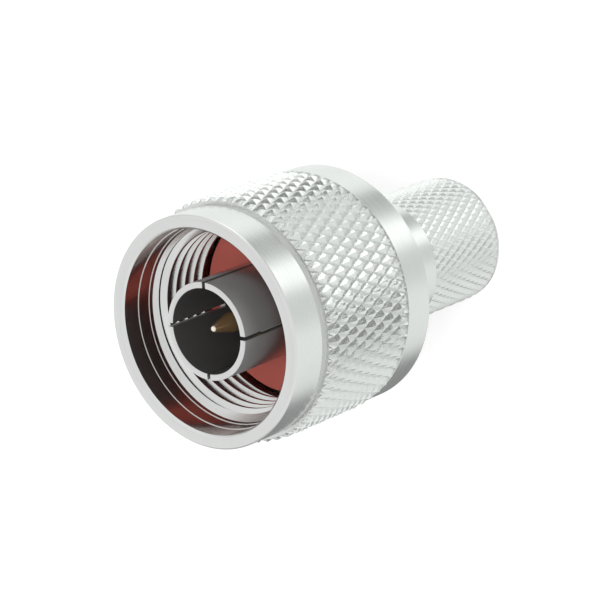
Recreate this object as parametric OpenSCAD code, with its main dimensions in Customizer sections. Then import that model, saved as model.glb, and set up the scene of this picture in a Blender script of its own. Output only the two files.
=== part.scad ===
// N-type plug for coaxial cable, crimp style.
// It stands on the rear end of its ferrule, with the axis along +Z and the mating mouth on top.
// Depths are measured down from the plane of the mouth.

/* [Mating face] */
// Depth of the outer contact's tip below the mouth
contact_recess = 0.5; // [0.2:0.05:1.2]
// Length of outer contact that stands in front of the gasket
contact_reach = 9.1; // [8.6:0.05:10.5]
// Outside diameter of the outer contact
contact_d = 8.06; // [7.8:0.02:8.3]
// Wall thickness of the outer contact's fingers
contact_wall = 0.51; // [0.35:0.01:0.6]
// Number of slots in the outer contact
contact_slots = 4; // [4:2:6]
// Width of a slot
slot_w = 0.32; // [0.2:0.02:0.6]
// Length of a slot
slot_len = 6.4; // [4:0.1:7.5]
// Angle of the first slot round the axis
slot_turn = 45; // [0:5:90]
// Diameter of the outer contact's root, inside the gasket
root_d = 8.6; // [8.4:0.05:9]
// Length of the thicker root in front of the gasket
root_len = 0.3; // [0.1:0.05:0.6]
// Diameter of the outer contact's base, pressed into the body
base_d = 10.4; // [10:0.1:11]
// Length of that base
base_len = 1.5; // [1:0.1:2]

/* [Centre pin] */
// Depth of the pin's tip below the outer contact's tip
pin_recess = 0.7; // [0.6:0.1:2]
// Diameter of the pin where it mates
pin_d = 1.65; // [1.5:0.01:1.8]
// Radius of the rounded tip
pin_tip_r = 0.3; // [0.2:0.02:0.45]
// Length of the tapered nose
pin_nose = 2.2; // [1:0.1:2.4]
// Straight length behind the nose
pin_land = 2.3; // [2.1:0.1:3]
// Diameter of the pin's shank behind its shoulder
shank_d = 3.04; // [2.8:0.02:3.2]
// Diameter of the collar between the two insulators
pin_collar_d = 4; // [3.6:0.1:4.6]
// Thickness of that collar
pin_collar_t = 0.8; // [0.5:0.1:1.2]
// Diameter of the solder cup's bore
cup_d = 1.9; // [1.4:0.05:2.2]
// Depth of the solder cup
cup_depth = 3.6; // [3:0.1:5]
// Diameter of the solder hole in the side of the cup
solder_hole_d = 0.8; // [0.5:0.05:1]
// Clear space behind the solder cup
cup_gap = 0.5; // [0.3:0.1:0.8]

/* [Insulators and gasket] */
// Length of the rear insulator
rear_bead_len = 3.7; // [2.5:0.1:5]
// Diameter of the rear insulator
rear_bead_d = 8; // [7.4:0.1:9]
// Thickness of the gasket
gasket_t = 1.2; // [0.8:0.1:1.8]
// Outside diameter of the gasket
gasket_d = 15.2; // [14.6:0.1:15.8]

/* [Body] */
// Diameter of the head behind the gasket
head_d = 14.7; // [14.5:0.05:14.8]
// Length of the head
head_len = 1.9; // [1.7:0.1:3]
// Diameter of the neck that carries the nut
neck_d = 12.84; // [12.2:0.02:13.4]
// Length of neck that shows behind the nut
neck_proud = 0.4; // [0.2:0.1:2]
// Diameter of the cable's dielectric, and of the stem's bore
dielectric_d = 5.2; // [4.6:0.1:5.4]
// Diameter of the bay round the solder cup
cup_bay_d = 6.4; // [5.8:0.1:7]
// Thickness of the bay's floor, which carries the stem
bay_floor = 0.7; // [0.5:0.05:0.9]
// Length of stem that takes the dielectric
dielectric_len = 11.5; // [8:0.5:12]
// Wall thickness of the stem
stem_wall = 0.8; // [0.6:0.05:0.9]
// Height of the stem's barbed ridges
ridge_h = 0.18; // [0.1:0.02:0.3]
// Spacing of those ridges
ridge_pitch = 0.9; // [0.6:0.05:1.5]
// Length of the spigot that centres the ferrule
spigot_len = 2.2; // [1.8:0.1:2.8]

/* [Coupling nut] */
// Length of the nut's inner flange, from its shoulder to its rear face
flange_len = 3.8; // [3.4:0.1:6]
// Diameter of the smooth front collar
front_collar_d = 19.15; // [19:0.05:19.8]
// Length of the front collar
front_collar_len = 3.3; // [2:0.1:4.5]
// Diameter of the undercut behind the front collar
undercut_d = 18.8; // [17.8:0.1:18.9]
// Width of the undercut
undercut_w = 0.4; // [0.2:0.05:0.8]
// Diameter of the smooth rear collar
rear_collar_d = 20; // [19.6:0.1:20.3]
// Length of the rear collar
rear_collar_len = 2.8; // [1.5:0.1:4]
// Edge break on the nut's corners
nut_chamfer = 0.15; // [0.1:0.05:0.5]
// Diameter of the mouth
mouth_d = 16.8; // [16.4:0.05:17.2]
// Chamfer at the mouth
mouth_chamfer = 0.2; // [0.1:0.05:0.4]
// Height of each of the two shallow steps inside the mouth
mouth_step = 0.07; // [0.04:0.01:0.15]
// Depth of the first step
first_step_depth = 1.8; // [1:0.05:2.4]
// Depth of the second step
second_step_depth = 3; // [2.6:0.05:3.2]
// Depth at which the thread's lead-in begins
lead_in_depth = 3.35; // [3.3:0.05:3.8]
// Bore of the thread's crests
thread_bore_d = 14.86; // [14.8:0.02:15]
// Diameter of the relief behind the thread
relief_d = 16.1; // [15.9:0.05:16.4]
// Length of relief in front of the gasket
relief_ahead = 1; // [0.6:0.1:2]

/* [Knurl] */
// Diameter over the crests of the nut's knurl
nut_knurl_d = 20.4; // [20:0.05:20.8]
// Depth of the nut's knurl
nut_knurl_depth = 0.36; // [0.25:0.01:0.45]
// Teeth around the nut
nut_teeth = 62; // [40:2:72]
// Spacing of the rows of teeth along the nut
nut_row = 1.12; // [0.9:0.01:1.6]
// Length over which the teeth rise behind the nut's undercut
tooth_rake = 0.15; // [0.1:0.05:0.6]
// Depth of the ferrule's knurl
ferrule_knurl_depth = 0.2; // [0.15:0.01:0.3]
// Teeth around the ferrule
ferrule_teeth = 46; // [30:2:52]
// Spacing of the rows of teeth along the ferrule
ferrule_row = 0.74; // [0.6:0.01:1.2]

/* [Snap ring] */
// Distance from the nut's shoulder to the ring's groove
groove_offset = 1.5; // [1.2:0.1:1.9]
// Width of the groove
groove_w = 1; // [0.8:0.05:1.3]
// Depth of the groove in the body's neck
neck_groove_depth = 0.57; // [0.4:0.01:0.7]
// Depth of the groove in the nut
nut_groove_depth = 0.75; // [0.6:0.05:1]
// Radial width of the ring
ring_w = 1; // [0.9:0.05:1.1]
// Opening between the ring's ends
ring_gap = 3; // [1.5:0.1:5]

/* [Ferrule] */
// Length of the ferrule
ferrule_len = 15.6; // [14:0.1:20]
// Outside diameter of the ferrule
ferrule_d = 10.9; // [10.6:0.05:11.2]
// Bore of the ferrule
ferrule_bore_d = 8.7; // [8.4:0.05:9]
// Length of the smooth band at the front
ferrule_band_len = 6.4; // [2:0.1:9]
// Plain edge behind the knurl
ferrule_edge_len = 0.25; // [0.2:0.05:0.8]
// Depth of that edge below the knurl's valleys
ferrule_edge_step = 0.1; // [0.05:0.01:0.15]

/* [Fits] */
// Radial clearance between the nut and the body's neck
running_fit = 0.08; // [0.03:0.01:0.1]
// Axial play of the nut
axial_play = 0.1; // [0.05:0.05:0.3]
// Radial clearance between pieces that are assembled for good
seat_fit = 0.02; // [0.01:0.005:0.04]
// Edge break on small turned corners
edge_break = 0.12; // [0.05:0.01:0.15]

/* [Hidden] */
$fn = 96;

// Depths below the mouth, from the front of the plug to its rear
gasket_depth = contact_recess + contact_reach;
head_depth = gasket_depth + gasket_t;
base_rear_depth = head_depth + base_len;
neck_depth = head_depth + head_len;
shoulder_depth = neck_depth + axial_play;
nut_len = shoulder_depth + flange_len;
body_rear_depth = nut_len + neck_proud;
groove_depth = shoulder_depth + groove_offset;
bead_rear_depth = base_rear_depth + rear_bead_len;
spigot_rear_depth = body_rear_depth + spigot_len;
cup_bay_depth = spigot_rear_depth - bay_floor;
stem_rear_depth = cup_bay_depth + dielectric_len;
overall_len = body_rear_depth + ferrule_len;

contact_r = contact_d / 2;
contact_bore_r = contact_r - contact_wall;
neck_r = neck_d / 2;
stem_bore_r = dielectric_d / 2;
stem_r = stem_bore_r + stem_wall;

// Pin
pin_tip_depth = contact_recess + pin_recess;
pin_shoulder_depth = pin_tip_depth + pin_nose + pin_land;
pin_rear_depth = cup_bay_depth - cup_gap;
cup_overhang = pin_rear_depth - bead_rear_depth;

// Nut
nut_bore_r = neck_r + running_fit;
thread_end_depth = gasket_depth - relief_ahead;
nut_knurl_front = front_collar_len + undercut_w;
nut_knurl_rear = nut_len - rear_collar_len;

// Share of a barbed ridge's length over which it rises
ridge_rise = 0.8;
// Share of the groove's width that stays free on each side of the snap ring
ring_free = 0.1;

// A point of a turned profile: its radius and its depth below the mouth
function at(r, depth) = [r, overall_len - depth];

module turned(profile) {
    rotate_extrude() polygon(profile);
}

// A straight bore or plug between two depths
module bore(r, front, rear) {
    translate([0, 0, overall_len - rear]) cylinder(r = r, h = rear - front);
}

// A drum of pyramid teeth, as two crossing sets of grooves leave them.
// Crests and valleys alternate around each ring, and each ring is half a tooth on from the last.
// Both ends run out to the valley; the first crests stand a lead's length behind the front.
module knurled_drum(front, rear, crest_r, valley_r, teeth, row, lead) {
    rows = floor((rear - front - lead) / row - 0.25);
    depths = [front, for (k = [0 : rows]) front + lead + k * row, rear];
    rings = len(depths);
    around = 2 * teeth;
    function runs_out(k) = k == 0 || k == rings - 1;
    function radius(i, k) = (i + k) % 2 == 0 && !runs_out(k) ? crest_r : valley_r;
    points = [
        for (k = [0 : rings - 1], i = [0 : around - 1])
            [radius(i, k) * cos(180 * i / teeth), radius(i, k) * sin(180 * i / teeth),
             overall_len - depths[k]]
    ];
    function id(i, k) = k * around + i % around;
    // Each cell is split along its groove, which joins two valleys
    sides = [
        for (k = [0 : rings - 2], i = [0 : around - 1], half = [0, 1])
            (i + k) % 2 == 0
                ? (half == 0 ? [id(i, k), id(i + 1, k), id(i, k + 1)]
                             : [id(i + 1, k), id(i + 1, k + 1), id(i, k + 1)])
                : (half == 0 ? [id(i, k), id(i + 1, k), id(i + 1, k + 1)]
                             : [id(i, k), id(i + 1, k + 1), id(i, k + 1)])
    ];
    top = [for (i = [around - 1 : -1 : 0]) id(i, 0)];
    bottom = [for (i = [0 : around - 1]) id(i, rings - 1)];
    polyhedron(points, concat(sides, [top, bottom]), convexity = 4);
}

module coupling_nut() {
    c = nut_chamfer;
    collar_r = front_collar_d / 2;
    undercut_r = undercut_d / 2;
    rear_r = rear_collar_d / 2;
    mouth_r = mouth_d / 2;
    step_r = mouth_r - mouth_step;
    lead_in_r = step_r - mouth_step;
    thread_r = thread_bore_d / 2;
    relief_r = relief_d / 2;
    groove_r = nut_bore_r + nut_groove_depth;
    over = 1;
    outside = [
        at(0, 0), at(collar_r - c, 0), at(collar_r, c), at(collar_r, front_collar_len),
        at(undercut_r, front_collar_len), at(undercut_r, nut_knurl_rear),
        at(rear_r, nut_knurl_rear), at(rear_r, nut_len - c), at(rear_r - c, nut_len), at(0, nut_len)
    ];
    inside = [
        at(0, -over), at(mouth_r + mouth_chamfer + over, -over), at(mouth_r + mouth_chamfer, 0),
        at(mouth_r, mouth_chamfer), at(mouth_r, first_step_depth), at(step_r, first_step_depth),
        at(step_r, second_step_depth), at(lead_in_r, second_step_depth),
        at(lead_in_r, lead_in_depth), at(thread_r, lead_in_depth + lead_in_r - thread_r),
        at(thread_r, thread_end_depth), at(relief_r, thread_end_depth),
        at(relief_r, shoulder_depth), at(nut_bore_r, shoulder_depth),
        at(nut_bore_r, groove_depth), at(groove_r, groove_depth),
        at(groove_r, groove_depth + groove_w), at(nut_bore_r, groove_depth + groove_w),
        at(nut_bore_r, nut_len - c), at(nut_bore_r + c + over, nut_len + over), at(0, nut_len + over)
    ];
    color("gainsboro") difference() {
        union() {
            turned(outside);
            knurled_drum(nut_knurl_front, nut_knurl_rear, nut_knurl_d / 2,
                         nut_knurl_d / 2 - nut_knurl_depth, nut_teeth, nut_row, tooth_rake);
        }
        turned(inside);
    }
}

module snap_ring() {
    play = groove_w * ring_free;
    inner_r = neck_r - neck_groove_depth + seat_fit;
    outer_r = inner_r + ring_w;
    front = groove_depth + play;
    rear = groove_depth + groove_w - play;
    color("darkkhaki") difference() {
        bore(outer_r, front, rear);
        bore(inner_r, front - play, rear + play);
        translate([0, -ring_gap / 2, 0]) cube([outer_r + 1, ring_gap, overall_len]);
    }
}

module gasket() {
    color("firebrick") difference() {
        bore(gasket_d / 2, gasket_depth, head_depth);
        bore(root_d / 2 + seat_fit, gasket_depth - 1, head_depth + 1);
    }
}

module outer_contact() {
    e = edge_break;
    root_r = root_d / 2;
    base_r = base_d / 2 - seat_fit;
    bell = [
        at(contact_bore_r + e, contact_recess), at(contact_r - e, contact_recess),
        at(contact_r, contact_recess + e), at(contact_r, gasket_depth - root_len),
        at(root_r, gasket_depth - root_len), at(root_r, head_depth), at(base_r, head_depth),
        at(base_r, base_rear_depth), at(contact_bore_r, base_rear_depth),
        at(contact_bore_r, contact_recess + e)
    ];
    color("silver") difference() {
        turned(bell);
        for (i = [0 : contact_slots - 1])
            rotate([0, 0, slot_turn + 360 * i / contact_slots])
                translate([0, -slot_w / 2, overall_len - contact_recess - slot_len])
                    cube([contact_d, slot_w, slot_len + 1]);
    }
}

module centre_pin() {
    r = pin_d / 2;
    shank_r = shank_d / 2;
    e = edge_break;
    collar_front = base_rear_depth;
    collar_rear = collar_front + pin_collar_t;
    nose_rear = pin_tip_depth + pin_nose;
    pin = [
        at(0, pin_tip_depth + pin_tip_r), at(pin_tip_r, pin_tip_depth + pin_tip_r),
        at(r, nose_rear), at(r, pin_shoulder_depth), at(shank_r - e, pin_shoulder_depth),
        at(shank_r, pin_shoulder_depth + e), at(shank_r, collar_front),
        at(pin_collar_d / 2, collar_front), at(pin_collar_d / 2, collar_rear),
        at(shank_r, collar_rear), at(shank_r, pin_rear_depth), at(0, pin_rear_depth)
    ];
    color("gold") difference() {
        union() {
            turned(pin);
            translate(concat(0, at(0, pin_tip_depth + pin_tip_r))) sphere(r = pin_tip_r);
        }
        bore(cup_d / 2, pin_rear_depth - cup_depth, pin_rear_depth + 1);
        translate([0, 0, overall_len - pin_rear_depth + cup_overhang / 2])
            rotate([0, 90, 0]) cylinder(d = solder_hole_d, h = shank_d);
    }
}

module front_insulator() {
    color("white") difference() {
        bore(contact_bore_r - seat_fit, gasket_depth, base_rear_depth);
        bore(shank_d / 2 + seat_fit, gasket_depth - 1, base_rear_depth + 1);
    }
}

module rear_insulator() {
    color("white") difference() {
        bore(rear_bead_d / 2 - seat_fit, base_rear_depth, bead_rear_depth);
        bore(shank_d / 2 + seat_fit, base_rear_depth - 1, bead_rear_depth + 1);
        bore(pin_collar_d / 2 + seat_fit, base_rear_depth - 1, base_rear_depth + pin_collar_t);
    }
}

module body() {
    e = edge_break;
    head_r = head_d / 2;
    spigot_r = ferrule_bore_d / 2 - seat_fit;
    neck_groove_r = neck_r - neck_groove_depth;
    ridges = floor((stem_rear_depth - spigot_rear_depth) / ridge_pitch) - 2;
    first_ridge = stem_rear_depth - (ridges + 0.5) * ridge_pitch;
    outside = concat(
        [at(0, head_depth), at(head_r - e, head_depth), at(head_r, head_depth + e),
         at(head_r, neck_depth), at(neck_r, neck_depth), at(neck_r, groove_depth),
         at(neck_groove_r, groove_depth), at(neck_groove_r, groove_depth + groove_w),
         at(neck_r, groove_depth + groove_w), at(neck_r, body_rear_depth - e),
         at(neck_r - e, body_rear_depth), at(spigot_r, body_rear_depth),
         at(spigot_r, spigot_rear_depth - e), at(spigot_r - e, spigot_rear_depth),
         at(stem_r, spigot_rear_depth)],
        [for (i = [0 : ridges - 1], edge = [0, 1])
            at(stem_r + edge * ridge_h, first_ridge + (i + edge * ridge_rise) * ridge_pitch)],
        [at(stem_r, first_ridge + ridges * ridge_pitch), at(stem_r, stem_rear_depth),
         at(0, stem_rear_depth)]
    );
    color("lightgray") difference() {
        turned(outside);
        bore(base_d / 2, head_depth - 1, base_rear_depth);
        bore(rear_bead_d / 2, head_depth, bead_rear_depth);
        bore(cup_bay_d / 2, head_depth, cup_bay_depth);
        bore(stem_bore_r, head_depth, stem_rear_depth + 1);
    }
}

module crimp_ferrule() {
    e = edge_break;
    r = ferrule_d / 2;
    valley_r = r - ferrule_knurl_depth;
    edge_r = valley_r - ferrule_edge_step;
    knurl_front = body_rear_depth + ferrule_band_len;
    knurl_rear = overall_len - ferrule_edge_len;
    sleeve = [
        at(0, body_rear_depth), at(r - e, body_rear_depth), at(r, body_rear_depth + e),
        at(r, knurl_front), at(edge_r, knurl_front), at(edge_r, overall_len - e),
        at(edge_r - e, overall_len), at(0, overall_len)
    ];
    color("gainsboro") difference() {
        union() {
            turned(sleeve);
            knurled_drum(knurl_front, knurl_rear, r, valley_r, ferrule_teeth, ferrule_row,
                         ferrule_row);
        }
        bore(ferrule_bore_d / 2, body_rear_depth - 1, overall_len + 1);
    }
}

coupling_nut();
snap_ring();
gasket();
outer_contact();
centre_pin();
front_insulator();
rear_insulator();
body();
crimp_ferrule();
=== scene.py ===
import math

import bmesh
import bpy
from mathutils import Matrix, Quaternion, Vector


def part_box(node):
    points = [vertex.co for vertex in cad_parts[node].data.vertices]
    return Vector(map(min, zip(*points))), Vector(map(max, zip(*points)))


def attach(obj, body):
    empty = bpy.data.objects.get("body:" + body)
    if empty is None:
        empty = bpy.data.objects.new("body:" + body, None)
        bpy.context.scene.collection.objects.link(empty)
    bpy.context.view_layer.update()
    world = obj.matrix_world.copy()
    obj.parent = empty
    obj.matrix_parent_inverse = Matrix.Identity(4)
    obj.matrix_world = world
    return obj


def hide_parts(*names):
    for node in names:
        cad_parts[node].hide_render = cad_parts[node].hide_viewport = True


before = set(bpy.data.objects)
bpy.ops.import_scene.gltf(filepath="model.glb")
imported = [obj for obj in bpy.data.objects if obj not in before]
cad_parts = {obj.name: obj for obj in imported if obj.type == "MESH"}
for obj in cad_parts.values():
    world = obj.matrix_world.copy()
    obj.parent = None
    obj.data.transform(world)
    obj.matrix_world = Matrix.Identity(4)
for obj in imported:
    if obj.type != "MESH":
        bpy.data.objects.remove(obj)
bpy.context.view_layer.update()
scene = bpy.context.scene
scene.view_settings.view_transform = "Standard"

# ---- Camera ----------------------------------------------------------------------------------
# It looks down into the mouth from a quarter of a metre away.
# It is tipped over on its side, so that the standing plug seems to lie in the picture.

mm = 0.001
camera_azimuth = math.radians(-110.68)
camera_elevation = math.radians(47.23)
camera_roll = math.radians(111.23)
camera_distance = 250.6 * mm
camera_aim = Vector((-0.71, 0.27, 20.35)) * mm
camera_lens = 181.8
camera_clip = 10 * mm

camera = bpy.data.objects.new("camera", bpy.data.cameras.new("camera"))
camera.data.lens = camera_lens
camera.data.clip_start = camera_clip
back = Vector((
    math.cos(camera_elevation) * math.cos(camera_azimuth),
    math.cos(camera_elevation) * math.sin(camera_azimuth),
    math.sin(camera_elevation),
))
camera.location = camera_aim + back * camera_distance
camera.rotation_mode = "QUATERNION"
camera.rotation_quaternion = (-back).to_track_quat("-Z", "Y") @ Quaternion((0, 0, 1), -camera_roll)
scene.collection.objects.link(camera)
scene.camera = camera

# ---- Light tent ------------------------------------------------------------------------------
# The plug stands in a white tent, on a white floor, under one large soft lamp.
# The tent has a few grey seams and gaps, which show in the plating as soft bands.

# Brightness of the tent's wall at azimuths in degrees: in its middle, at its rim, and at its foot.
# The turned collars mirror the middle, and the teeth of the knurls mirror the rim and the foot.
tent_wall = [
    (-180, 0.92), (-150, 0.96), (-142, 0.90), (-134, 0.78), (-114, 0.74), (-106, 0.85),
    (-98, 1.35), (-80, 1.45), (-74, 1.05), (-64, 0.62), (-50, 0.48), (-42, 0.46), (-35, 0.90),
    (-25, 1.08), (0, 1.00), (60, 1.02), (80, 0.28), (138, 0.30), (148, 0.60), (156, 0.87), (180, 0.92),
]
tent_rim = [
    (-180, 1.10), (-164, 0.92), (-142, 0.94), (-110, 0.92), (-101, 0.34), (-82, 0.16), (-73, 0.50),
    (-60, 0.85), (-50, 2.00), (-26, 2.00), (-14, 1.10), (20, 0.90), (78, 0.90), (92, 0.48),
    (134, 0.48), (148, 1.00), (180, 1.10),
]
tent_foot = [
    (-180, 1.05), (-150, 0.80), (-100, 0.78), (-66, 0.95), (-52, 1.70), (-22, 1.70), (-8, 1.15),
    (25, 1.10), (60, 0.90), (100, 0.42), (122, 0.46), (138, 0.85), (180, 1.05),
]
# Brightness of the tent's roof at elevations in degrees, from the plug's own height to overhead
tent_roof = [(0, 0.60), (25, 0.95), (47, 0.84), (60, 0.80), (75, 0.95), (90, 1.00)]
# Elevations in radians over which the wall passes into its foot, its rim and the roof
foot_blend = (-0.95, -1.10)
rim_blend = (-0.70, -0.50)
roof_blend = (-0.15, 0.25)
tent_wall_tint = (0.97, 1.0, 0.985)
tent_fill = 0.60
# The lamp's power in watts, and its width and place in metres, as is the floor's width
lamp_power = 0.95
lamp_width = 0.30
lamp_place = Vector((-0.08, -0.21, 0.37))
lamp_target = Vector((0, 0, 15 * mm))
floor_width = 4.0
floor_white = 0.86
floor_glow = 0.36


def node(tree, kind, inputs=(), **settings):
    """A node with its settings, and with each input set to a value or joined to a socket."""
    made = tree.nodes.new(kind)
    for name, value in settings.items():
        setattr(made, name, value)
    for name, value in dict(inputs).items():
        if isinstance(value, bpy.types.NodeSocket):
            tree.links.new(value, made.inputs[name])
        else:
            made.inputs[name].default_value = value
    return made


def calc(tree, operation, a, b=0.0, c=0.0):
    """One step of arithmetic in a node tree."""
    return node(tree, "ShaderNodeMath", {0: a, 1: b, 2: c}, operation=operation).outputs[0]


def split(tree, vector):
    """The X, Y and Z of a vector."""
    return node(tree, "ShaderNodeSeparateXYZ", {0: vector}).outputs


def ranged(tree, value, start, end, low=0.0, high=1.0, kind="LINEAR"):
    """A number that goes from low to high while the value goes from start to end."""
    inputs = {0: value, 1: start, 2: end, 3: low, 4: high}
    return node(tree, "ShaderNodeMapRange", inputs, interpolation_type=kind).outputs[0]


def mixed(tree, share, first, second, blend="MIX"):
    """A mix of two colours, each given as a socket or as three numbers."""
    inputs = {0: share}
    for place, colour in ((6, first), (7, second)):
        inputs[place] = colour if isinstance(colour, bpy.types.NodeSocket) else (*colour, 1)
    return node(tree, "ShaderNodeMix", inputs, data_type="RGBA", blend_type=blend).outputs[2]


def ramp(tree, angle, stops, low, high):
    """A brightness looked up at an angle, in a list of stops that runs from low to high degrees."""
    made = node(tree, "ShaderNodeValToRGB", {0: ranged(tree, angle, math.radians(low), math.radians(high))})
    elements = made.color_ramp.elements
    for i, (at, brightness) in enumerate(stops):
        place = (at - low) / (high - low)
        stop = elements[i] if i < 2 else elements.new(place)
        stop.position = place
        stop.color = (brightness, brightness, brightness, 1)
    return made.outputs["Color"]


def light_tent():
    """What mirrors show is the tent. Dull surfaces get an even light, and the camera sees white."""
    world = bpy.data.worlds.new("light_tent")
    world.use_nodes = True
    tree = world.node_tree
    tree.nodes.clear()
    along = split(tree, node(tree, "ShaderNodeTexCoord").outputs["Generated"])
    azimuth = calc(tree, "ARCTAN2", along["Y"], along["X"])
    height = calc(tree, "ARCSINE", along["Z"])
    wall = ramp(tree, azimuth, tent_wall, -180, 180)
    for stops, blend in ((tent_foot, foot_blend), (tent_rim, rim_blend)):
        share = ranged(tree, height, *blend, kind="SMOOTHSTEP")
        wall = mixed(tree, share, wall, ramp(tree, azimuth, stops, -180, 180))
    wall = mixed(tree, 1.0, wall, tent_wall_tint, "MULTIPLY")
    roof = ramp(tree, height, tent_roof, 0, 90)
    tent = mixed(tree, ranged(tree, height, *roof_blend, kind="SMOOTHSTEP"), wall, roof)
    ray = node(tree, "ShaderNodeLightPath").outputs
    mirrored = calc(tree, "MAXIMUM", ray["Is Glossy Ray"], ray["Is Transmission Ray"])
    lit = mixed(tree, mirrored, (tent_fill, tent_fill, tent_fill), tent)
    seen = mixed(tree, ray["Is Camera Ray"], lit, (1, 1, 1))
    background = node(tree, "ShaderNodeBackground", {"Color": seen})
    output = node(tree, "ShaderNodeOutputWorld")
    tree.links.new(background.outputs[0], output.inputs["Surface"])
    scene.world = world


def soft_lamp():
    lamp = bpy.data.objects.new("soft_lamp", bpy.data.lights.new("soft_lamp", "AREA"))
    lamp.data.shape = "DISK"
    lamp.data.size = lamp_width
    lamp.data.energy = lamp_power
    lamp.location = lamp_place
    lamp.rotation_mode = "QUATERNION"
    lamp.rotation_quaternion = (lamp_target - lamp_place).to_track_quat("-Z", "Y")
    lamp.visible_glossy = False
    scene.collection.objects.link(lamp)


def tent_floor():
    """White paper that takes the plug's shadow, with a glow that lifts it to the background's white."""
    half = floor_width / 2
    mesh = bpy.data.meshes.new("tent_floor")
    corners = [(-half, -half, 0), (half, -half, 0), (half, half, 0), (-half, half, 0)]
    mesh.from_pydata(corners, [], [(0, 1, 2, 3)])
    floor = bpy.data.objects.new("tent_floor", mesh)
    floor.visible_glossy = False
    material = bpy.data.materials.new("white_floor")
    material.use_nodes = True
    tree = material.node_tree
    tree.nodes.clear()
    paper = node(tree, "ShaderNodeBsdfDiffuse", {"Color": (floor_white, floor_white, floor_white, 1)})
    ray = node(tree, "ShaderNodeLightPath").outputs
    seen = calc(tree, "MAXIMUM", ray["Is Camera Ray"], ray["Is Glossy Ray"])
    seen = calc(tree, "MAXIMUM", seen, ray["Is Transmission Ray"])
    glow = node(tree, "ShaderNodeEmission", {"Strength": calc(tree, "MULTIPLY", seen, floor_glow)})
    both = node(tree, "ShaderNodeAddShader", {0: paper.outputs[0], 1: glow.outputs[0]})
    output = node(tree, "ShaderNodeOutputMaterial")
    tree.links.new(both.outputs[0], output.inputs["Surface"])
    mesh.materials.append(material)
    scene.collection.objects.link(floor)


light_tent()
soft_lamp()
tent_floor()

# ---- Coupling nut ----------------------------------------------------------------------------
# Turned from brass bar, with a diamond knurl rolled on its grip and a 5/8-24 thread cut inside.
# It is nickel plated, and it turns freely on the body's neck, where the snap ring holds it.

mouth_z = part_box("coupling_nut")[1].z
nut_rear = mouth_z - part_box("coupling_nut")[0].z
nut_knurl_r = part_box("coupling_nut")[1].x

# Radii are taken from the axis, and places along it are depths below the mouth
front_collar_r = 9.575 * mm
front_collar_len = 3.3 * mm
undercut_r = 9.4 * mm
undercut_break = 0.06 * mm
rear_collar_r = 10.0 * mm
rear_collar_len = 2.8 * mm
collar_chamfer = 0.15 * mm
nut_edge = 0.04 * mm
turned_weld = 0.0005 * mm
# How far a knurled drum is let into the smooth parts before and behind it
into_collar = 0.05 * mm

mouth_r = 8.4 * mm
mouth_chamfer = 0.2 * mm
mouth_step = 0.07 * mm
first_step = 1.8 * mm
second_step = 3.0 * mm
lead_in = 3.35 * mm
thread_crest_r = 7.43 * mm
thread_root_r = 7.94 * mm
thread_pitch = 25.4 * mm / 24
thread_crest_w = thread_pitch / 4
thread_flank = math.radians(30)
thread_start = 3.2 * mm
thread_end = 8.6 * mm
thread_turns = 6.5
thread_facets = 128
cutter_reach = 0.05 * mm
relief_r = 8.05 * mm
nut_shoulder = 12.8 * mm
nut_bore_r = 6.5 * mm
ring_groove_offset = 1.5 * mm
ring_groove_w = 1.0 * mm
ring_groove_depth = 0.75 * mm

knurl_front = 3.7 * mm
knurl_depth = 0.36 * mm
knurl_teeth = 62
knurl_rows = 9
knurl_core_r = 8.8 * mm
knurl_run_out = 0.25 * mm
knurl_bluntness = 1.3
knurl_weld = 0.001 * mm
# A tooth's rings count as no smaller than this, so that its very tip can be worked out
tooth_least = 0.001

nickel_tint = (0.82, 0.83, 0.82)
patch_shade = 0.06
patch_size = 2.5 * mm
line_depth = 0.0001 * mm
line_contrast = 0.15
# Most of a noise's values lie between these two
noise_span = (0.3, 0.7)
# The mouth's reamed steps are smoother. There and further in, what doesn't face the mouth is darkened with
# painted shade, slightly reddish at the reamed radius
reamed_painted_shade = (0.51, 0.44, 0.42)
inside_painted_shade = (0.25, 0.25, 0.25)
reamed_gloss = 0.7
reamed_reach = 0.12 * mm
inside_start = 0.35 * mm
# How far a surface faces the mouth where the painted shade starts to show, and where it shows fully
painted_shade_facing = (0.5, 0.2)
rolled_grain = 0.035 * mm
rolled_grain_size = 0.22 * mm


def rounded(outline, radius, steps=3, share=0.45):
    """A closed outline of (radius, depth) points, with each corner turned into a small arc.
    An arc takes no more than a share of the sides that it joins."""
    arcs = []
    for i, corner in enumerate(outline):
        here = Vector(corner)
        to_before = Vector(outline[i - 1]) - here
        to_after = Vector(outline[(i + 1) % len(outline)]) - here
        reach = min(radius, share * to_before.length, share * to_after.length)
        start = here + to_before.normalized() * reach
        end = here + to_after.normalized() * reach
        for k in range(steps + 1):
            t = k / steps
            arcs.append((1 - t) ** 2 * start + 2 * t * (1 - t) * here + t ** 2 * end)
    return arcs


def new_piece(name, shape):
    """An object in the scene, made from a shape that is then let go."""
    mesh = bpy.data.meshes.new(name)
    shape.to_mesh(mesh)
    shape.free()
    piece = bpy.data.objects.new(name, mesh)
    scene.collection.objects.link(piece)
    return piece


def turned(name, outline, edge, segments=192):
    """A closed outline of (radius, depth below the mouth) points, spun round the axis."""
    profile = rounded(outline, edge)
    shape = bmesh.new()
    rings = []
    for k in range(segments):
        turn = 2 * math.pi * k / segments
        rings.append([
            shape.verts.new((p.x * math.cos(turn), p.x * math.sin(turn), mouth_z - p.y)) for p in profile
        ])
    for k in range(segments):
        following = rings[(k + 1) % segments]
        for i in range(len(profile)):
            j = (i + 1) % len(profile)
            shape.faces.new((rings[k][i], following[i], following[j], rings[k][j]))
    bmesh.ops.remove_doubles(shape, verts=shape.verts, dist=turned_weld)
    bmesh.ops.dissolve_degenerate(shape, edges=shape.edges, dist=turned_weld)
    bmesh.ops.recalc_face_normals(shape, faces=shape.faces)
    return new_piece(name, shape)


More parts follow.
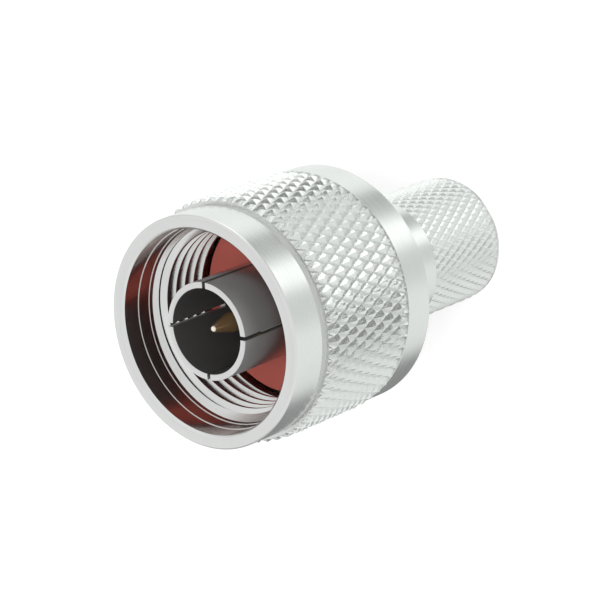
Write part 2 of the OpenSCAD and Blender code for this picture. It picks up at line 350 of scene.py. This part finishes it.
def settle(piece):
    """Works a piece's modifiers into its mesh."""
    graph = bpy.context.evaluated_depsgraph_get()
    mesh = bpy.data.meshes.new_from_object(piece.evaluated_get(graph), depsgraph=graph)
    piece.modifiers.clear()
    piece.data = mesh


def combine(piece, tool, operation):
    """Joins a tool's solid to a piece, or cuts it away, and drops the tool."""
    join = piece.modifiers.new(operation.lower(), "BOOLEAN")
    join.object = tool
    join.operation = operation
    join.solver = "MANIFOLD"
    join.material_mode = "TRANSFER"
    settle(piece)
    bpy.data.objects.remove(tool)


def smooth(piece, sharp_above=35):
    """Smooth shading that keeps flat faces flat, and edges crisp that bend by more than an angle."""
    piece.data.shade_smooth()
    piece.data.set_sharp_from_angle(angle=math.radians(sharp_above))
    weighted = piece.modifiers.new("flat_faces", "WEIGHTED_NORMAL")
    weighted.keep_sharp = True
    settle(piece)


def grown(name, tree, **sizes):
    """An object made by a geometry tree, with the tree's named sizes set."""
    piece = bpy.data.objects.new(name, bpy.data.meshes.new(name))
    scene.collection.objects.link(piece)
    modifier = piece.modifiers.new("tree", "NODES")
    modifier.node_group = tree
    for socket in tree.interface.items_tree:
        if socket.in_out == "INPUT" and socket.name in sizes:
            modifier[socket.identifier] = sizes[socket.name]
    settle(piece)
    return piece


def tree_with(name, sizes):
    """An empty geometry tree with named size inputs, and its input and output nodes."""
    tree = bpy.data.node_groups.new(name, "GeometryNodeTree")
    for size, kind in sizes.items():
        tree.interface.new_socket(size, in_out="INPUT", socket_type=kind)
    tree.interface.new_socket("Geometry", in_out="OUTPUT", socket_type="NodeSocketGeometry")
    return tree, tree.nodes.new("NodeGroupInput").outputs, tree.nodes.new("NodeGroupOutput").inputs


def end_tree(tree, geometry, metal, made):
    """The end of a geometry tree: real faces, all of one metal."""
    real = node(tree, "GeometryNodeRealizeInstances", {0: geometry})
    painted = node(tree, "GeometryNodeSetMaterial", {0: real.outputs[0], "Material": metal})
    tree.links.new(painted.outputs[0], made[0])


def join_up(tree, x=0.0, y=0.0, z=0.0):
    """A vector made of three numbers."""
    return node(tree, "ShaderNodeCombineXYZ", {0: x, 1: y, 2: z}).outputs[0]


def position(tree):
    """The X, Y and Z of each point of a geometry."""
    return split(tree, node(tree, "GeometryNodeInputPosition").outputs[0])


def one_tooth(tree, bluntness):
    """A tooth, two wide and two high, that rises from 0 at its grooves to 1 at its blunt crest."""
    cone = node(tree, "GeometryNodeMeshCone", {
        "Vertices": 4, "Side Segments": 6, "Radius Top": 0.0, "Radius Bottom": 1.0, "Depth": 1.0,
    }, fill_type="NONE")
    at = position(tree)
    ring = calc(tree, "SUBTRACT", 1.0, at["Z"])
    eased = ranged(tree, ring, 0.0, 1.0, kind="SMOOTHSTEP")
    spread = calc(tree, "DIVIDE", eased, calc(tree, "MAXIMUM", ring, tooth_least))
    across = calc(tree, "MULTIPLY", at["X"], spread)
    along = calc(tree, "MULTIPLY", at["Y"], spread)
    rise = calc(tree, "SUBTRACT", 1.0, calc(tree, "POWER", eased, bluntness))
    return node(tree, "GeometryNodeSetPosition", {
        "Geometry": cone.outputs["Mesh"], "Position": join_up(tree, across, along, rise),
    }).outputs[0]


def flat_rows(tree, tooth, given, half_rows):
    """Teeth on a flat lattice, with every other row half a tooth on.
    What reaches past the end rows is cut off through the middle of their teeth."""
    lattice = node(tree, "GeometryNodeMeshGrid", {
        "Size X": calc(tree, "MULTIPLY", calc(tree, "SUBTRACT", given["teeth"], 1), 2),
        "Size Y": given["rows"], "Vertices X": given["teeth"],
        "Vertices Y": calc(tree, "ADD", given["rows"], 1),
    })
    row = calc(tree, "ROUND", calc(tree, "ADD", position(tree)["Y"], half_rows))
    staggered = node(tree, "GeometryNodeSetPosition", {
        "Geometry": lattice.outputs["Mesh"], "Offset": join_up(tree, calc(tree, "MODULO", row, 2)),
    })
    teeth = node(tree, "GeometryNodeInstanceOnPoints", {"Points": staggered.outputs[0], "Instance": tooth})
    teeth = node(tree, "GeometryNodeRealizeInstances", {0: teeth.outputs[0]})
    outside = node(tree, "FunctionNodeCompare", {
        0: calc(tree, "ABSOLUTE", position(tree)["Y"]), 1: half_rows,
    }, operation="GREATER_THAN")
    return node(tree, "GeometryNodeDeleteGeometry", {
        0: teeth.outputs[0], 1: outside.outputs[0],
    }, domain="FACE").outputs[0]


def welded(tree, geometry):
    """A mesh whose points that meet are made one."""
    inputs = {"Geometry": geometry, "Distance": knurl_weld}
    return node(tree, "GeometryNodeMergeByDistance", inputs).outputs[0]


def wrapped(tree, flat, given, half_rows, length):
    """The flat pattern, wrapped round the axis, with teeth that run out at both ends."""
    at = position(tree)
    turn = calc(tree, "MULTIPLY", at["X"], calc(tree, "DIVIDE", math.pi, given["teeth"]))
    share = calc(tree, "DIVIDE", calc(tree, "ADD", at["Y"], half_rows), given["rows"])
    to_end = calc(tree, "MINIMUM", share, calc(tree, "SUBTRACT", 1.0, share))
    grown_out = ranged(tree, calc(tree, "MULTIPLY", to_end, length), 0.0, given["run_out"])
    height = calc(tree, "SUBTRACT", given["crest_r"], given["valley_r"])
    height = calc(tree, "MULTIPLY", height, grown_out)
    radius = calc(tree, "MULTIPLY_ADD", at["Z"], height, given["valley_r"])
    place = join_up(
        tree, calc(tree, "MULTIPLY", radius, calc(tree, "COSINE", turn)),
        calc(tree, "MULTIPLY", radius, calc(tree, "SINE", turn)),
        calc(tree, "MULTIPLY_ADD", share, length, given["rear_z"]),
    )
    drum = node(tree, "GeometryNodeSetPosition", {"Geometry": flat, "Position": place})
    return welded(tree, drum.outputs[0])


def closed(tree, drum, given, length):
    """A drum whose ends are closed with flat rings, and whose rings are joined by a bore."""
    edges = node(tree, "GeometryNodeInputMeshEdgeNeighbors").outputs[0]
    open_edges = node(tree, "FunctionNodeCompare", {2: edges, 3: 1}, data_type="INT", operation="EQUAL")
    ends = node(tree, "GeometryNodeExtrudeMesh", {
        "Mesh": drum, "Selection": open_edges.outputs[0], "Offset Scale": 0.0,
    }, mode="EDGES")
    at = position(tree)
    away = node(tree, "ShaderNodeVectorMath", {0: join_up(tree, at["X"], at["Y"])}, operation="NORMALIZE")
    inner = node(tree, "ShaderNodeVectorMath", {
        0: away.outputs[0], "Scale": given["core_r"],
    }, operation="SCALE")
    inner = node(tree, "ShaderNodeVectorMath", {
        0: inner.outputs[0], 1: join_up(tree, z=at["Z"]),
    }, operation="ADD")
    rings = node(tree, "GeometryNodeSetPosition", {
        "Geometry": ends.outputs["Mesh"], "Selection": ends.outputs["Top"], "Position": inner.outputs[0],
    })
    middle = calc(tree, "MULTIPLY", calc(tree, "ADD", given["front_z"], given["rear_z"]), 0.5)
    in_front = node(tree, "FunctionNodeCompare", {0: at["Z"], 1: middle}, operation="GREATER_THAN")
    front_ring = node(tree, "FunctionNodeBooleanMath", {0: ends.outputs["Top"], 1: in_front.outputs[0]})
    bore = node(tree, "GeometryNodeExtrudeMesh", {
        "Mesh": rings.outputs[0], "Selection": front_ring.outputs[0],
        "Offset": join_up(tree, z=calc(tree, "MULTIPLY", length, -1)),
    }, mode="EDGES")
    return welded(tree, bore.outputs["Mesh"])


def diamond_knurl_tree():
    """A drum of four-sided teeth: one tooth on a staggered lattice, wrapped round and closed inside."""
    number, size = "NodeSocketInt", "NodeSocketFloat"
    tree, given, made = tree_with("diamond_knurl", {
        "teeth": number, "rows": number, "crest_r": size, "valley_r": size, "core_r": size,
        "front_z": size, "rear_z": size, "run_out": size, "bluntness": size,
        "metal": "NodeSocketMaterial",
    })
    half_rows = calc(tree, "MULTIPLY", given["rows"], 0.5)
    length = calc(tree, "SUBTRACT", given["front_z"], given["rear_z"])
    flat = flat_rows(tree, one_tooth(tree, given["bluntness"]), given, half_rows)
    drum = closed(tree, wrapped(tree, flat, given, half_rows, length), given, length)
    end_tree(tree, drum, given["metal"], made)
    return tree


def thread_cutter_tree():
    """A wedge that winds inside a bore, and leaves a thread where it is cut away."""
    number, size = "NodeSocketInt", "NodeSocketFloat"
    tree, given, made = tree_with("thread_cutter", {
        "turns": size, "facets": number, "pitch": size, "root_r": size, "open_r": size,
        "root_w": size, "open_w": size, "front_z": size, "metal": "NodeSocketMaterial",
    })
    middle = calc(tree, "MULTIPLY", calc(tree, "ADD", given["root_r"], given["open_r"]), 0.5)
    rise = calc(tree, "MULTIPLY", given["turns"], given["pitch"])
    helix = node(tree, "GeometryNodeCurveSpiral", {
        "Resolution": given["facets"], "Rotations": given["turns"], "Start Radius": middle,
        "End Radius": middle, "Height": rise,
    })
    upright = node(tree, "GeometryNodeSetCurveNormal", {0: helix.outputs[0]}, mode="Z_UP")
    wedge = node(tree, "GeometryNodeCurvePrimitiveQuadrilateral", {
        "Height": calc(tree, "SUBTRACT", given["root_r"], given["open_r"]),
        "Bottom Width": given["open_w"], "Top Width": given["root_w"], "Offset": 0.0,
    }, mode="TRAPEZOID")
    wedge = node(tree, "GeometryNodeTransform", {0: wedge.outputs[0], "Rotation": (0, 0, math.radians(90))})
    swept = node(tree, "GeometryNodeCurveToMesh", {
        "Curve": upright.outputs[0], "Profile Curve": wedge.outputs[0], "Fill Caps": True,
    })
    drop = join_up(tree, z=calc(tree, "SUBTRACT", given["front_z"], rise))
    placed = node(tree, "GeometryNodeTransform", {0: swept.outputs[0], "Translation": drop})
    end_tree(tree, placed.outputs[0], given["metal"], made)
    return tree


def axis_distance(tree, at):
    """How far a point is from the axis."""
    squares = calc(tree, "ADD", calc(tree, "POWER", at["X"], 2), calc(tree, "POWER", at["Y"], 2))
    return calc(tree, "SQRT", squares)


def turned_finish_group():
    """What turning leaves on a surface: fine lines round the axis, and a faint unevenness.
    It also marks what lies at the reamed radius, and what lies well inside it."""
    tree = bpy.data.node_groups.new("turned_finish", "ShaderNodeTree")
    for name in ("Line spacing", "Patch size", "Reamed radius"):
        tree.interface.new_socket(name, in_out="INPUT", socket_type="NodeSocketFloat")
    for name in ("Lines", "Patches", "Reamed", "Inside"):
        tree.interface.new_socket(name, in_out="OUTPUT", socket_type="NodeSocketFloat")
    given = tree.nodes.new("NodeGroupInput").outputs
    made = tree.nodes.new("NodeGroupOutput").inputs
    here = node(tree, "ShaderNodeTexCoord").outputs["Object"]
    at = split(tree, here)
    radius = axis_distance(tree, at)
    lines = node(tree, "ShaderNodeTexNoise", {
        "Vector": join_up(tree, radius, at["Z"]), "Detail": 2.0,
        "Scale": calc(tree, "DIVIDE", 1.0, given["Line spacing"]),
    }, noise_dimensions="2D")
    patches = node(tree, "ShaderNodeTexNoise", {
        "Vector": here, "Scale": calc(tree, "DIVIDE", 1.0, given["Patch size"]), "Detail": 2.0,
    })
    tree.links.new(lines.outputs[0], made["Lines"])
    tree.links.new(patches.outputs[0], made["Patches"])
    tree.links.new(calc(tree, "COMPARE", radius, given["Reamed radius"], reamed_reach), made["Reamed"])
    bound = calc(tree, "SUBTRACT", given["Reamed radius"], inside_start)
    tree.links.new(calc(tree, "LESS_THAN", radius, bound), made["Inside"])
    return tree


turned_finish = turned_finish_group()


def turned_marks(tree, line_spacing, patches, reamed=0.0):
    """The turned finish, placed in a material with sizes of its own."""
    return node(tree, "ShaderNodeGroup", {
        "Line spacing": line_spacing, "Patch size": patches, "Reamed radius": reamed,
    }, node_tree=turned_finish).outputs


def new_material(name):
    """A new material, with its tree and its shader."""
    material = bpy.data.materials.new(name)
    material.use_nodes = True
    return material, material.node_tree, material.node_tree.nodes["Principled BSDF"]


def feed(tree, shader, colour, rough, height, depth=1.0):
    """Joins a shader to its colour, its roughness and a height. Depth is the relief of a height of 1."""
    bump = node(tree, "ShaderNodeBump", {"Height": height, "Distance": depth})
    tree.links.new(colour, shader.inputs["Base Color"])
    tree.links.new(rough, shader.inputs["Roughness"])
    tree.links.new(bump.outputs[0], shader.inputs["Normal"])


def facing_mouth(tree):
    """How far a surface faces the mouth: 1 for a level face, 0 for an upright wall."""
    return split(tree, node(tree, "ShaderNodeTexCoord").outputs["Normal"])["Z"]


def plated(name, tint, dull, line_spacing=0.06 * mm, reamed=0.0, grain=0.0):
    """Plated and turned metal. Dull is its roughness, and grain is the unevenness that rolling leaves.
    Near the reamed radius it has no lines. There and further in, all that doesn't face the mouth
    is darkened with painted shade."""
    material, tree, metal = new_material(name)
    metal.inputs["Metallic"].default_value = 1.0
    marks = turned_marks(tree, line_spacing, patch_size, reamed)
    darker = tuple(c * (1 - patch_shade) for c in tint)
    colour = mixed(tree, marks["Patches"], tint, darker)
    # Painted shade: inside the mouth, what doesn't face the mouth is darkened
    if reamed:
        turned_away = ranged(tree, facing_mouth(tree), *painted_shade_facing)
        for mask, shade_tint in (("Reamed", reamed_painted_shade), ("Inside", inside_painted_shade)):
            colour = mixed(tree, calc(tree, "MULTIPLY", marks[mask], turned_away), colour, shade_tint)
    lined = ranged(
        tree, marks["Lines"], *noise_span, dull * (1 - line_contrast), dull * (1 + line_contrast),
    )
    glossy = calc(tree, "MULTIPLY", lined, reamed_gloss)
    rough = node(tree, "ShaderNodeMix", {0: marks["Reamed"], 2: lined, 3: glossy}).outputs[0]
    height = calc(tree, "MULTIPLY", marks["Lines"], line_depth)
    height = calc(tree, "MULTIPLY", height, calc(tree, "SUBTRACT", 1.0, marks["Reamed"]))
    if grain:
        here = node(tree, "ShaderNodeTexCoord").outputs["Object"]
        uneven = node(tree, "ShaderNodeTexNoise", {
            "Vector": here, "Scale": 1 / rolled_grain_size, "Detail": 3.0,
        })
        height = calc(tree, "MULTIPLY_ADD", uneven.outputs[0], grain, height)
    feed(tree, metal, colour, rough, height)
    return material


nickel = plated("bright_nickel", nickel_tint, dull=0.24)
nut_nickel = plated("nut_nickel", nickel_tint, dull=0.24, reamed=mouth_r - mouth_step)
knurled_nickel = plated("knurled_nickel", nickel_tint, dull=0.26, grain=rolled_grain)
diamond_knurl = diamond_knurl_tree()
thread_cutter = thread_cutter_tree()


def coupling_nut():
    bevel = collar_chamfer
    front_collar = [
        (mouth_r + mouth_chamfer, 0), (front_collar_r - bevel, 0), (front_collar_r, bevel),
        (front_collar_r, front_collar_len - undercut_break),
        (front_collar_r - undercut_break, front_collar_len), (undercut_r, front_collar_len),
    ]
    collar_start = nut_rear - rear_collar_len - into_collar
    rear_collar = [
        (undercut_r, collar_start), (rear_collar_r, collar_start), (rear_collar_r, nut_rear - bevel),
        (rear_collar_r - bevel, nut_rear), (nut_bore_r + bevel, nut_rear),
    ]
    groove = nut_shoulder + ring_groove_offset
    groove_r = nut_bore_r + ring_groove_depth
    bore = [
        (nut_bore_r, nut_rear - bevel), (nut_bore_r, groove + ring_groove_w),
        (groove_r, groove + ring_groove_w), (groove_r, groove), (nut_bore_r, groove),
        (nut_bore_r, nut_shoulder), (relief_r, nut_shoulder), (relief_r, thread_end),
    ]
    step_r = mouth_r - mouth_step
    lead_in_r = step_r - mouth_step
    mouth = [
        (thread_crest_r, thread_end), (thread_crest_r, lead_in + lead_in_r - thread_crest_r),
        (lead_in_r, lead_in), (lead_in_r, second_step), (step_r, second_step),
        (step_r, first_step), (mouth_r, first_step), (mouth_r, mouth_chamfer),
    ]
    nut = turned("knurled_coupling_nut", front_collar + rear_collar + bore + mouth, edge=nut_edge)
    nut.data.materials.append(nut_nickel)
    grip = grown(
        "grip", diamond_knurl, teeth=knurl_teeth, rows=knurl_rows, crest_r=nut_knurl_r,
        valley_r=nut_knurl_r - knurl_depth, core_r=knurl_core_r, front_z=mouth_z - knurl_front,
        rear_z=mouth_z - nut_rear + rear_collar_len, run_out=knurl_run_out,
        bluntness=knurl_bluntness, metal=knurled_nickel,
    )
    widening = 2 * math.tan(thread_flank)
    root_w = thread_pitch - thread_crest_w - widening * (thread_root_r - thread_crest_r)
    open_r = thread_crest_r - cutter_reach
    cutter = grown(
        "cutter", thread_cutter, turns=thread_turns, facets=thread_facets, pitch=thread_pitch,
        root_r=thread_root_r, open_r=open_r, root_w=root_w,
        open_w=root_w + widening * (thread_root_r - open_r), front_z=mouth_z - thread_start,
        metal=nut_nickel,
    )
    combine(nut, grip, "UNION")
    combine(nut, cutter, "DIFFERENCE")
    smooth(nut, sharp_above=24)
    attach(nut, "nut")
    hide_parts("coupling_nut")


coupling_nut()

# ---- Gasket ----------------------------------------------------------------------------------
# A flat ring punched from red silicone rubber sheet.
# It is stretched over the root of the outer contact, and lies on the body's head.

gasket_front = mouth_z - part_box("gasket")[1].z
gasket_rear = mouth_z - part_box("gasket")[0].z
gasket_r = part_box("gasket")[1].x
gasket_edge = 0.08 * mm
root_r = 4.3 * mm
silicone_red = (0.80, 0.20, 0.16)
silicone_shade = 0.18
silicone_grain = 0.004 * mm
silicone_roughness = (0.50, 0.62)
silicone_specular = 0.35
# How many specks of grain, and how many clouds of the darker red, lie along a metre
silicone_specks = 9000.0
silicone_clouds = 350.0


def red_silicone():
    material, tree, rubber = new_material("red_silicone")
    rubber.inputs["Specular IOR Level"].default_value = silicone_specular
    here = node(tree, "ShaderNodeTexCoord").outputs["Object"]
    grain = node(tree, "ShaderNodeTexNoise", {
        "Vector": here, "Scale": silicone_specks, "Detail": 3.0,
    }).outputs[0]
    cloud = node(tree, "ShaderNodeTexNoise", {
        "Vector": here, "Scale": silicone_clouds, "Detail": 2.0,
    }).outputs[0]
    darker = tuple(c * (1 - silicone_shade) for c in silicone_red)
    colour = mixed(tree, cloud, silicone_red, darker)
    rough = ranged(tree, grain, 0.0, 1.0, *silicone_roughness)
    feed(tree, rubber, colour, rough, grain, depth=silicone_grain)
    return material


def gasket():
    ring = turned("silicone_gasket", [
        (root_r, gasket_front), (gasket_r, gasket_front), (gasket_r, gasket_rear), (root_r, gasket_rear),
    ], edge=gasket_edge)
    ring.data.materials.append(red_silicone())
    smooth(ring)
    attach(ring, "plug_body")
    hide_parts("gasket")


gasket()

# ---- Outer contact ---------------------------------------------------------------------------
# A thin tube turned from spring metal and sawn into four fingers, which grip the mating shell.
# Its sides and bore are darkened with painted shade, most in the bore; its front face keeps the bright
# metal, and its base is pressed into the body.

contact_tip = mouth_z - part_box("outer_contact")[1].z
contact_rear = mouth_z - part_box("outer_contact")[0].z
contact_r = 4.03 * mm
contact_bore_r = 3.52 * mm
contact_base_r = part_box("outer_contact")[1].x
contact_root_len = 0.3 * mm
contact_edge = 0.05 * mm
slot_w = 0.32 * mm
slot_len = 6.4 * mm
slot_turn = math.radians(45)
fingers = 4
saw_reach = 12 * mm
bright_face = (0.80, 0.80, 0.80)
side_painted_shade = (0.49, 0.49, 0.49)
bore_painted_shade = (0.11, 0.11, 0.11)
# How metallic and how rough the bore, the outer side and the front face are
contact_metallic = (0.55, 0.92, 1.0)
contact_roughness = (0.50, 0.28, 0.20)
# How far a surface faces the mouth where the bright face starts to show over the painted shade, and where
# it shows fully
bright_face_facing = (0.35, 0.75)
# How deep the bore's colour, and the outer side's, reach into the tube's wall before they blend
contact_margin = 0.1 * mm


def slot_saw():
    """The saw's four cuts as one cross of two long boxes."""
    shape = bmesh.new()
    for k in range(fingers // 2):
        turn = slot_turn + math.pi * k / (fingers // 2)
        corners = bmesh.ops.create_cube(shape, size=1.0)["verts"]
        along = Vector((math.cos(turn), math.sin(turn), 0))
        across = Vector((-math.sin(turn), math.cos(turn), 0))
        for corner in corners:
            side, wide, up = corner.co
            level = mouth_z - contact_tip - slot_len if up < 0 else mouth_z
            corner.co = along * side * saw_reach + across * wide * slot_w + Vector((0, 0, level))
    bmesh.ops.recalc_face_normals(shape, faces=shape.faces)
    return new_piece("slot_saw", shape)


def contact_metal():
    """Sides and bore darkened with painted shade, most in the bore, and bright metal where the surface
    points to the mouth.
    """
    material = plated("contact_metal", bright_face, dull=0.22)
    tree = material.node_tree
    metal = tree.nodes["Principled BSDF"]
    bright = metal.inputs["Base Color"].links[0].from_socket
    bright_face_share = ranged(tree, facing_mouth(tree), *bright_face_facing)
    radius = axis_distance(tree, split(tree, node(tree, "ShaderNodeTexCoord").outputs["Object"]))
    outer = ranged(tree, radius, contact_bore_r + contact_margin, contact_r - contact_margin)
    # Painted shade: the outer side is darkened, and the bore more so
    sides = mixed(tree, outer, bore_painted_shade, side_painted_shade)
    tree.links.new(mixed(tree, bright_face_share, sides, bright), metal.inputs["Base Color"])
    for name, (bore, side, face) in (("Metallic", contact_metallic), ("Roughness", contact_roughness)):
        wall = ranged(tree, outer, 0.0, 1.0, bore, side)
        tree.links.new(ranged(tree, bright_face_share, 0.0, 1.0, wall, face), metal.inputs[name])
    return material


def outer_contact():
    root = gasket_front - contact_root_len
    tube = turned("slotted_outer_contact", [
        (contact_bore_r, contact_tip), (contact_r, contact_tip), (contact_r, root), (root_r, root),
        (root_r, gasket_rear), (contact_base_r, gasket_rear), (contact_base_r, contact_rear),
        (contact_bore_r, contact_rear),
    ], edge=contact_edge)
    tube.data.materials.append(contact_metal())
    combine(tube, slot_saw(), "DIFFERENCE")
    smooth(tube, sharp_above=28)
    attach(tube, "plug_body")
    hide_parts("outer_contact")


outer_contact()

# ---- Centre pin ------------------------------------------------------------------------------
# Turned from brass and gold plated, with a rounded tip on a long taper.
# A collar holds it between the two insulators, and its hollow rear takes the cable's wire.

pin_tip_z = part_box("centre_pin")[1].z
pin_tip = mouth_z - pin_tip_z
pin_rear = mouth_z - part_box("centre_pin")[0].z
pin_r = 0.825 * mm
pin_tip_r = 0.30 * mm
pin_ball_end = 75
pin_ball_step = 15
pin_nose = 2.2 * mm
pin_land = 2.3 * mm
shank_r = 1.52 * mm
pin_collar_r = 2.0 * mm
pin_collar_t = 0.8 * mm
pin_edge = 0.06 * mm
cup_r = 0.95 * mm
cup_depth = 3.6 * mm
solder_hole_r = 0.4 * mm
gold_tint = (0.86, 0.54, 0.27)
gold_metallic = 0.85
# The very tip is painted pale, as a painted highlight
tip_painted_highlight = (1.0, 0.90, 0.78)
highlight_depth = 0.30 * mm


def gold_plate():
    """Gold with a pale tip: a painted highlight at the very tip."""
    material = plated("gold_plate", gold_tint, dull=0.20, line_spacing=0.04 * mm)
    tree = material.node_tree
    metal = tree.nodes["Principled BSDF"]
    metal.inputs["Metallic"].default_value = gold_metallic
    plain = metal.inputs["Base Color"].links[0].from_socket
    height = split(tree, node(tree, "ShaderNodeTexCoord").outputs["Object"])["Z"]
    highlight_share = ranged(tree, height, pin_tip_z - highlight_depth, pin_tip_z - highlight_depth / 2)
    tree.links.new(mixed(tree, highlight_share, plain, tip_painted_highlight), metal.inputs["Base Color"])
    return material


def solder_hole_drill():
    """A drill that comes in from the side, halfway along the part of the cup that stands free."""
    level = (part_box("centre_pin")[0].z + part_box("rear_insulator")[0].z) / 2
    shape = bmesh.new()
    bmesh.ops.create_cone(
        shape, cap_ends=True, segments=32, radius1=solder_hole_r, radius2=solder_hole_r,
        depth=2 * shank_r,
        matrix=Matrix.Translation((shank_r, 0, level)) @ Matrix.Rotation(math.radians(90), 4, "Y"),
    )
    return new_piece("solder_hole_drill", shape)


def centre_pin():
    """The outline starts with the tip's ball, down to where the taper meets it."""
    tip = []
    for degrees in range(0, pin_ball_end + 1, pin_ball_step):
        turn = math.radians(degrees)
        tip.append((pin_tip_r * math.sin(turn), pin_tip + pin_tip_r * (1 - math.cos(turn))))
    shoulder = pin_tip + pin_nose + pin_land
    pin = turned("gold_centre_pin", tip + [
        (pin_r, pin_tip + pin_nose), (pin_r, shoulder), (shank_r, shoulder),
        (shank_r, contact_rear), (pin_collar_r, contact_rear),
        (pin_collar_r, contact_rear + pin_collar_t), (shank_r, contact_rear + pin_collar_t),
        (shank_r, pin_rear), (cup_r, pin_rear), (cup_r, pin_rear - cup_depth), (0, pin_rear - cup_depth),
    ], edge=pin_edge, segments=96)
    pin.data.materials.append(gold_plate())
    combine(pin, solder_hole_drill(), "DIFFERENCE")
    smooth(pin)
    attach(pin, "plug_body")
    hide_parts("centre_pin")


centre_pin()

# ---- Insulators ------------------------------------------------------------------------------
# Two plain beads turned from white PTFE rod, in front of the pin's collar and behind it.
# They hold the pin in the middle of the body; the collar is trapped between them.

ptfe_white = (0.82, 0.82, 0.80)
ptfe_shade = 0.07
ptfe_light_depth = 0.5 * mm
ptfe_light_share = 0.15
ptfe_line_depth = 0.002 * mm
ptfe_line_spacing = 0.12 * mm
ptfe_patch_size = 2.0 * mm
ptfe_roughness = (0.42, 0.55)


def white_ptfe():
    material, tree, plastic = new_material("white_ptfe")
    plastic.inputs["Subsurface Weight"].default_value = ptfe_light_share
    plastic.inputs["Subsurface Scale"].default_value = ptfe_light_depth
    marks = turned_marks(tree, ptfe_line_spacing, ptfe_patch_size)
    darker = tuple(c * (1 - ptfe_shade) for c in ptfe_white)
    colour = mixed(tree, marks["Patches"], ptfe_white, darker)
    rough = ranged(tree, marks["Lines"], 0.0, 1.0, *ptfe_roughness)
    feed(tree, plastic, colour, rough, marks["Lines"], depth=ptfe_line_depth)
    return material


def dress(name, material):
    """Gives one of the plain solids a material of its own."""
    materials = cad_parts[name].data.materials
    materials.clear()
    materials.append(material)


ptfe = white_ptfe()
for bead in ("front_insulator", "rear_insulator"):
    dress(bead, ptfe)

# ---- Body ------------------------------------------------------------------------------------
# One turned and plated brass piece: a head behind the gasket, a neck that the nut turns on,
# a spigot for the ferrule, and a thin barbed stem that slides under the cable's braid.

dress("body", nickel)

# ---- Snap ring -------------------------------------------------------------------------------
# A split ring of phosphor bronze wire with a square section.
# It sits half in the neck's groove and half in the nut's, and keeps the nut on the body.

bronze_tint = (0.72, 0.45, 0.22)

dress("snap_ring", plated("spring_bronze", bronze_tint, dull=0.32))

# ---- Crimp ferrule ---------------------------------------------------------------------------
# A thin brass sleeve, nickel plated, that is pressed over the braid and the stem behind the neck.
# Its front is smooth, and a fine diamond knurl covers the rest, down to a small plain rim.

ferrule_front = mouth_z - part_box("crimp_ferrule")[1].z
ferrule_rear = mouth_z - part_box("crimp_ferrule")[0].z
ferrule_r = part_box("crimp_ferrule")[1].x
ferrule_bore_r = 4.35 * mm
ferrule_band = 6.4 * mm
ferrule_chamfer = 0.12 * mm
ferrule_rim = 0.25 * mm
ferrule_rim_r = 5.35 * mm
ferrule_under_r = 5.15 * mm
ferrule_edge = 0.03 * mm
ferrule_teeth = 46
ferrule_rows = 12
ferrule_knurl_depth = 0.17 * mm
ferrule_core_r = 4.6 * mm
ferrule_run_out = 0.18 * mm
ferrule_bluntness = 1.5
satin_tint = (0.87, 0.88, 0.87)
satin_grain = 0.02 * mm


def crimp_ferrule():
    bevel = ferrule_chamfer
    band_end = ferrule_front + ferrule_band + into_collar
    rim_start = ferrule_rear - ferrule_rim - into_collar
    sleeve = turned("knurled_crimp_ferrule", [
        (ferrule_bore_r, ferrule_front), (ferrule_r - bevel, ferrule_front),
        (ferrule_r, ferrule_front + bevel), (ferrule_r, band_end), (ferrule_under_r, band_end),
        (ferrule_under_r, rim_start), (ferrule_rim_r, rim_start), (ferrule_rim_r, ferrule_rear - bevel),
        (ferrule_rim_r - bevel, ferrule_rear), (ferrule_bore_r, ferrule_rear),
    ], edge=ferrule_edge)
    sleeve.data.materials.append(nickel)
    grip = grown(
        "grip", diamond_knurl, teeth=ferrule_teeth, rows=ferrule_rows, crest_r=ferrule_r,
        valley_r=ferrule_r - ferrule_knurl_depth, core_r=ferrule_core_r,
        front_z=mouth_z - ferrule_front - ferrule_band, rear_z=mouth_z - ferrule_rear + ferrule_rim,
        run_out=ferrule_run_out, bluntness=ferrule_bluntness,
        metal=plated("satin_knurl", satin_tint, dull=0.42, grain=satin_grain),
    )
    combine(sleeve, grip, "UNION")
    smooth(sleeve, sharp_above=24)
    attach(sleeve, "plug_body")
    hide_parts("crimp_ferrule")


crimp_ferrule()
